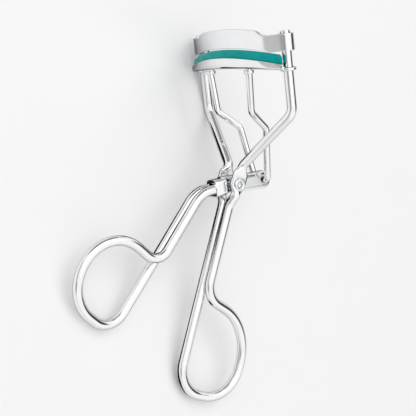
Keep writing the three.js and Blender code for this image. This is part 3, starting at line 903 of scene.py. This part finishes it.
class CURLER_OT_lower_jaw(Operator):
    """Folds the lower jaw's channel, with an ear round each post"""

    bl_idname = "curler.lower_jaw"
    bl_label = "Lower jaw"

    EAR_ROUNDING = 0.3 * MM
    # The web's start, in from the channel's end, half its width and the slope's place
    WEB_START = 1.2 * MM
    WEB_HALF = 1.3 * MM
    SLOPE_START, SLOPE_RUN = 0.8 * MM, 2.0 * MM

    def execute(self, context):
        jaw = sizes("jaw")
        push = sizes("push")
        width = jaw.pad_width / 2 + jaw.pad_gap + jaw.wall
        tall = jaw.channel_height
        section = rounded_channel(width, tall, jaw.channel_floor, jaw.wall, jaw.corner)
        bm = swept_section(section, half_spacing() - jaw.inset, slant=jaw.end_slant)
        arch(bm, jaw.bottom, jaw.floor_arch, jaw.bottom + tall, jaw.arch)
        round_creases(bm, 0.12 * MM, segments=2)
        low = jaw.bottom - jaw.floor_arch - jaw.ear_drop
        high = low + jaw.ear_thickness
        posts = [Vector((side * half_spacing(), 0, 0)) for side in (1, -1)]
        feet = [Vector((side * push.foot_x, jaw_y(push.foot_x), 0)) for side in (1, -1)]
        for post in posts:
            bm = combined(bm, self.ear(post, low, high), "UNION")
        bore = sizes("frame").wire / 2 + jaw.slide_gap
        hole = push.wire / 2 + push.hole_gap
        for post, foot in zip(posts, feet):
            for place, radius in ((post, bore), (foot, hole)):
                drill = upright_cylinder(place, radius, low - DRILL_BELOW, high + DRILL_ABOVE)
                bm = combined(bm, drill, "DIFFERENCE")
        finish_piece(bm, "folded_lower_jaw", "sliding_jaw", plating("sheet_chrome"), "lower_jaw")
        return {"FINISHED"}

    def ear(self, post, low, high):
        """A round ear with the web that joins it to the channel's end."""
        jaw = sizes("jaw")
        ring = upright_cylinder(post, jaw.ear_radius, low, high)
        round_creases(ring, self.EAR_ROUNDING)
        radius = jaw_radius()
        spot = asin((half_spacing() - jaw.inset - self.WEB_START) / radius)
        side = copysign(1, post.x)
        inner = jaw_centre() + radius * Vector((side * sin(spot), -cos(spot), 0))
        along = post - inner
        tall = high - low
        half = self.WEB_HALF
        web = block((0, -half, low + 0.01 * MM), (along.length, half, high + tall * 0.75))
        long_edges = [e for e in web.edges if e.calc_length() > 2.7 * MM]
        bmesh.ops.subdivide_edges(web, edges=long_edges, cuts=10)
        round_creases(web, self.EAR_ROUNDING)
        middle = low + tall / 2
        for vert in web.verts:
            near_post = smoothstep((vert.co.x - self.SLOPE_START) / self.SLOPE_RUN)
            if vert.co.z > middle:
                vert.co.z -= tall * 0.76 * near_post
            else:
                vert.co.z += (jaw.ear_drop + 0.05 * MM) * (1 - near_post)
        heading = Matrix.Rotation(atan2(along.y, along.x), 4, "Z")
        web.transform(Matrix.Translation(inner) @ heading)
        return combined(ring, web, "UNION")


class CURLER_OT_pad(Operator):
    """Moulds the soft pad, with a rounded top and rounded ends"""

    bl_idname = "curler.pad"
    bl_label = "Pad"

    def execute(self, context):
        jaw = sizes("jaw")
        half = jaw.pad_width / 2
        tall = jaw.pad_height
        crown = 0.95 * MM
        outline = [(-half, 0), (half, 0)] + arc((0, tall - crown), half, crown, 0, pi, 14)
        bm = swept_section(outline, half_spacing() - jaw.pad_inset, slant=jaw.end_slant)
        arch(bm, pad_bottom(), jaw.pad_arch, pad_bottom() + tall, jaw.arch)
        round_creases(bm, 0.35 * MM, segments=4)
        finish_piece(bm, "moulded_pad", "sliding_jaw", silicone(), "jaw_pad")
        return {"FINISHED"}


class CURLER_OT_lever(Operator):
    """Folds the lever's plate: a flat arm with an eye, and a grip crimped on the handle wire"""

    bl_idname = "curler.lever"
    bl_label = "Lever"

    def arm(self):
        lever = sizes("lever")
        tall = lever.height / 2
        half = lever.arm_thickness / 2
        back = -lever.grip_front - 1 * MM
        straight = 2 * MM
        taper = lever.reach * 0.7
        radius = lever.eye_radius
        outline = [(back, -tall), (straight, -tall), (taper, -radius * 0.95)]
        outline += arc((lever.reach, 0), radius, radius, -pi / 2, pi / 2, 28)
        outline += [(taper, tall * 0.97), (straight, tall), (back, tall)]
        bm = bmesh.new()
        face = bm.faces.new([bm.verts.new((-half, y, z)) for y, z in outline])
        verts = pulled_out(bm, face)
        bmesh.ops.translate(bm, verts=verts, vec=(lever.arm_thickness, 0, 0))
        round_creases(bm, 0.4 * MM, segments=4)
        slope = Matrix.Rotation(-lever.drop, 3, "X")
        bmesh.ops.rotate(bm, verts=bm.verts, cent=(0, 0, 0), matrix=slope)
        bmesh.ops.translate(bm, verts=bm.verts, vec=pivot())
        return bm

    def grip(self):
        lever = sizes("lever")
        half = lever.thickness / 2
        tall = lever.height / 2
        rear = pivot().y - lever.grip_rear
        front = pivot().y - lever.grip_front
        bm = block((-half, rear, pivot().z - tall), (half, front, pivot().z + tall))
        long_edges = [e for e in bm.edges if abs(e.verts[0].co.y - e.verts[1].co.y) > 1 * MM]
        round_off(bm, long_edges, lever.corner, segments=8)
        face = max(bm.faces, key=lambda f: f.calc_center_median().y)
        verts = pulled_out(bm, face)
        bmesh.ops.delete(bm, geom=[face], context="FACES")
        narrow = lever.arm_thickness / lever.thickness
        bmesh.ops.translate(bm, verts=verts, vec=(0, 1.1 * MM, 0))
        about = Matrix.Translation(-Vector((0, front, pivot().z)))
        bmesh.ops.scale(bm, verts=verts, vec=(narrow * 0.94, 1, 0.95), space=about)
        round_creases(bm, 0.15 * MM, segments=2, least=radians(25))
        return bm

    def execute(self, context):
        lever = sizes("lever")
        handle = sizes("handle")
        bm = combined(self.grip(), self.arm(), "UNION")
        inner = lever.thickness / 2 - lever.cheek
        tall = handle.tab_height / 2 + 0.15 * MM
        rear = pivot().y - lever.grip_rear - 1 * MM
        front = pivot().y - lever.grip_front - 0.9 * MM
        level = pivot().z
        seam = 0.12 * MM
        wide = 2 * lever.thickness
        rivet_hole = lever.rivet / 2 + lever.rivet_gap
        eye_hole = sizes("push").wire / 2 + lever.eye_gap
        cuts = (
            block((-inner, rear, level - tall), (inner, front, level + tall)),
            block((-seam, rear - 1 * MM, level), (seam, front - 0.2 * MM, level + lever.height)),
            cross_cylinder(pivot(), rivet_hole, wide),
            cross_cylinder(eye(), eye_hole, wide),
        )
        for cut in cuts:
            bm = combined(bm, cut, "DIFFERENCE")
        finish_piece(bm, "folded_lever", "lever", plating("sheet_chrome"), "lever_plate")
        return {"FINISHED"}


class CURLER_OT_rivet(Operator):
    """Turns the tubular rivet through the lugs and the lever"""

    bl_idname = "curler.rivet"
    bl_label = "Rivet"

    def execute(self, context):
        lever = sizes("lever")
        inside = lug_x() + sizes("frame").lug_thickness / 2 + 0.1 * MM
        tall = lever.rivet_head_height
        outside = inside + tall
        shank = lever.rivet / 2
        head = lever.rivet_head / 2
        socket = lever.rivet_socket / 2
        flat = head * 0.55
        rim = 0.1 * MM
        profile = [(0, -outside)]
        profile += arc((flat, -inside - rim), head * 0.45, tall - rim, -pi / 2, 0, 8)
        profile += [(head, -inside), (shank, -inside), (shank, inside), (head, inside)]
        lip = inside + 0.12 * MM
        profile.append((head, lip))
        middle = (head + socket) / 2
        across = (head - socket) / 2
        profile += arc((middle, lip), across, tall - 0.12 * MM, 0, pi, 12)[1:-1]
        bottom = outside - lever.rivet_depth
        profile += [(socket, inside + rim), (socket, bottom), (0, bottom - 0.3 * MM)]
        bm = turned(profile, pivot(), Vector((1, 0, 0)), steps=64)
        finish_piece(bm, "turned_rivet", "frame", plating("rivet_steel"), "pivot_rivet")
        return {"FINISHED"}


# ---- Stage ----


# Brightness of the studio from the horizon (0) to straight up (1)
WALL_LEVELS = ((0.0, 0.72), (0.2, 0.84), (0.5, 1.0))
# Brightness of the studio where the camera looks past the table
BACKDROP_LEVEL = 0.9
# The lamp's place over the jaws, the sides of its square and its power in watts
LAMP_PLACE = (-0.08, 0.20, 0.60)
LAMP_SIZE = 0.7
LAMP_POWER = 1.15
# What the camera looks at, in the tool's frame
CAMERA_AIM = Vector((-4.36, -14.67, -24.39)) * MM
# Half the table's side, in metres
TABLE_HALF = 3
# Height of the painted shadow strips over the table, and how dark the painted shadow is
PAINTED_SHADOW_LIFT = 0.0002
PAINTED_SHADOW_GREY = 0.02
# A grey board beside the table that only reflections show, a painted darker reflection on the
# chrome: middle, width and height in metres, and grey
PAINTED_REFLECTION_BOARD = ((-0.10, 0.045, 0.019), 0.09, 0.038, 0.7)
# Painted shadow under the wires, seen only in reflections: dark strips lying on the table, each
# with start, end and width, in metres
PAINTED_SHADOW_STRIPS = (
    ((0.017, 0.006), (-0.005, -0.046), 0.011),
    ((0.018, 0.016), (-0.010, 0.003), 0.016),
    ((0.013, 0.012), (0.020, 0.030), 0.016),
)
# Dark areas of the studio's walls: direction, half angle, fade and darkness
CARDS = (
    ((0.826, -0.146, 0.545), 15, 12, 0.95),
    ((0.17, 0.98, 0.12), 26, 18, 0.7),
    ((-1.0, 0.0, 0.0), 10, 24, 0.5),
    ((-0.915, -0.145, 0.375), 5, 9, 0.5),
)


class CURLER_OT_stage(Operator):
    """Sets the table, the studio light and the camera"""

    bl_idname = "curler.stage"
    bl_label = "Stage"

    def plain_sheet(self, name, size, placing, material):
        bm = bmesh.new()
        bmesh.ops.create_grid(bm, x_segments=1, y_segments=1, size=0.5)
        bmesh.ops.scale(bm, verts=bm.verts, vec=(*size, 1))
        bmesh.ops.transform(bm, verts=bm.verts, matrix=placing)
        sheet = add_object(bm, name, material)
        return sheet

    def paint(self, name, scale, dark, light, roughness):
        material, shader, mapping = new_material(name)
        tint(shader, noise(mapping, scale), dark, light)
        settle(shader, {"Roughness": roughness, "Specular IOR Level": 0.0})
        return material

    def floor(self):
        base = sizes("look").floor
        material = self.paint("table_paint", 40, shade(base, 0.995), tuple(base), 0.9)
        level = Matrix.Translation((0, 0, cad_box[0][2]))
        self.plain_sheet("table", (2 * TABLE_HALF, 2 * TABLE_HALF), level, material)

    def lamp(self):
        target = tool_to_row() @ Vector((0, 0, 0))
        place = target + Vector(LAMP_PLACE)
        data = bpy.data.lights.new("overhead", "AREA")
        data.shape = "RECTANGLE"
        data.size = data.size_y = LAMP_SIZE
        data.energy = LAMP_POWER
        lamp = new_object("overhead", data)
        lamp.location = place
        lamp.rotation_euler = (target - place).to_track_quat("-Z", "Y").to_euler()

    def panel(self, direction, light, facing, half_angle, fade, darkness):
        """Darkens the studio round one direction, as a black card standing there does."""
        near = new_node(direction, "VectorMath")
        near.operation = "DOT_PRODUCT"
        near.inputs[1].default_value = Vector(facing).normalized()
        lead(direction, near.inputs[0])
        edge = new_node(direction, "MapRange")
        edge.interpolation_type = "SMOOTHSTEP"
        inner = radians(half_angle)
        outer = inner + radians(fade)
        ends = {"From Min": cos(outer), "From Max": cos(inner)}
        settle(edge, {**ends, "To Min": 1, "To Max": 1 - darkness})
        lead(near.outputs["Value"], edge.inputs["Value"])
        dimmed = new_node(direction, "Math")
        dimmed.operation = "MULTIPLY"
        lead(edge.outputs["Result"], dimmed.inputs[0])
        lead(light, dimmed.inputs[1])
        return dimmed.outputs["Value"]

    def world(self):
        world = bpy.data.worlds.new("studio")
        world.use_nodes = True
        background = world.node_tree.nodes["Background"]
        direction = new_node(background, "TexCoord").outputs["Generated"]
        height = new_node(background, "SeparateXYZ")
        lead(direction, height.inputs["Vector"])
        walls = new_node(background, "ValToRGB")
        ramp = walls.color_ramp
        ramp.interpolation = "EASE"
        while len(ramp.elements) < len(WALL_LEVELS):
            ramp.elements.new(0.5)
        for element, (place, level) in zip(ramp.elements, WALL_LEVELS):
            element.position = place
            element.color = (level, level, level, 1)
        lead(height.outputs["Z"], walls.inputs["Fac"])
        light = walls.outputs["Color"]
        for card in CARDS:
            light = self.panel(direction, light, *card)
        seen = new_node(background, "Mix")
        seen.data_type = "FLOAT"
        path = new_node(background, "LightPath")
        lead(path.outputs["Is Camera Ray"], seen.inputs["Factor"])
        lead(light, seen.inputs["A"])
        seen.inputs["B"].default_value = BACKDROP_LEVEL
        lead(seen.outputs["Result"], background.inputs["Color"])
        background.inputs["Strength"].default_value = sizes("look").daylight
        bpy.context.scene.world = world

    def card(self, name, size, grey, placing):
        """A card that only reflections show: a painted reflection, of shadow where it is dark."""
        material = self.paint(name, 12, (grey * 0.9,) * 3, (grey,) * 3, 1.0)
        card = self.plain_sheet(name, size, placing, material)
        card.visible_camera = False
        card.visible_diffuse = False
        card.visible_shadow = False

    def cards(self):
        # A grey board that only reflections show: a painted darker reflection on the chrome
        middle, width, height, grey = PAINTED_REFLECTION_BOARD
        place = Vector(middle) + Vector((0, 0, cad_box[0][2]))
        upright = Vector((1, 0, 0)).to_track_quat("Z", "Y").to_matrix().to_4x4()
        placing = Matrix.Translation(place) @ upright
        self.card("grey_board", (width, height), grey, placing)
        # Dark strips that only reflections show, lying under the wires: painted shadow
        for number, (start, end, width) in enumerate(PAINTED_SHADOW_STRIPS, 1):
            along = Vector(end) - Vector(start)
            middle = (Vector(start) + Vector(end)) / 2
            place = Vector((*middle, cad_box[0][2] + PAINTED_SHADOW_LIFT))
            heading = Matrix.Rotation(atan2(along.y, along.x), 4, "Z")
            placing = Matrix.Translation(place) @ heading
            self.card("lying_card_%d" % number, (along.length, width), PAINTED_SHADOW_GREY, placing)

    def camera(self):
        view = sizes("view")
        turn = tool_to_row().to_3x3()
        level = Vector((cos(view.azimuth), sin(view.azimuth), 0))
        ahead = Vector((-level.y, level.x, 0))
        down = Vector((0, 0, -sin(view.elevation)))
        forward = ahead * cos(view.elevation) + down
        right = Quaternion(forward, -view.roll) @ level
        up = right.cross(forward)
        place = tool_to_row() @ (CAMERA_AIM - forward * view.distance)
        facing = Matrix((turn @ right, turn @ up, turn @ -forward)).transposed()
        data = bpy.data.cameras.new("view")
        data.lens = view.lens
        data.clip_start = 0.01
        camera = new_object("view", data)
        camera.matrix_world = Matrix.Translation(place) @ facing.to_4x4()
        bpy.context.scene.camera = camera

    def execute(self, context):
        self.floor()
        self.world()
        self.lamp()
        self.cards()
        self.camera()
        context.scene.view_settings.view_transform = "Standard"
        return {"FINISHED"}


class CURLER_PT_panel(Panel):
    """Lists the sizes and the pieces"""

    bl_idname = "CURLER_PT_panel"
    bl_label = "Eyelash Curler"
    bl_space_type = "VIEW_3D"
    bl_region_type = "UI"
    bl_category = "Curler"

    def draw(self, context):
        for operator in OPERATORS:
            self.layout.operator(operator.bl_idname)
        for name, group in GROUPS.items():
            box = self.layout.box()
            box.label(text=name.removeprefix("curler_").capitalize())
            for key in group.__annotations__:
                box.prop(getattr(context.scene, name), key)


OPERATORS = (
    CURLER_OT_frame_wire,
    CURLER_OT_handle_wire,
    CURLER_OT_push_wire,
    CURLER_OT_upper_jaw,
    CURLER_OT_lower_jaw,
    CURLER_OT_pad,
    CURLER_OT_lever,
    CURLER_OT_rivet,
    CURLER_OT_stage,
)


def register():
    for cls in (*GROUPS.values(), *OPERATORS, CURLER_PT_panel):
        bpy.utils.register_class(cls)
    for name, group in GROUPS.items():
        setattr(bpy.types.Scene, name, PointerProperty(type=group))


def unregister():
    for name in GROUPS:
        delattr(bpy.types.Scene, name)
    for cls in reversed((*GROUPS.values(), *OPERATORS, CURLER_PT_panel)):
        bpy.utils.unregister_class(cls)


def main():
    register()
    for operator in OPERATORS:
        group, name = operator.bl_idname.split(".")
        getattr(getattr(bpy.ops, group), name)()


if __name__ == "__main__":
    main()
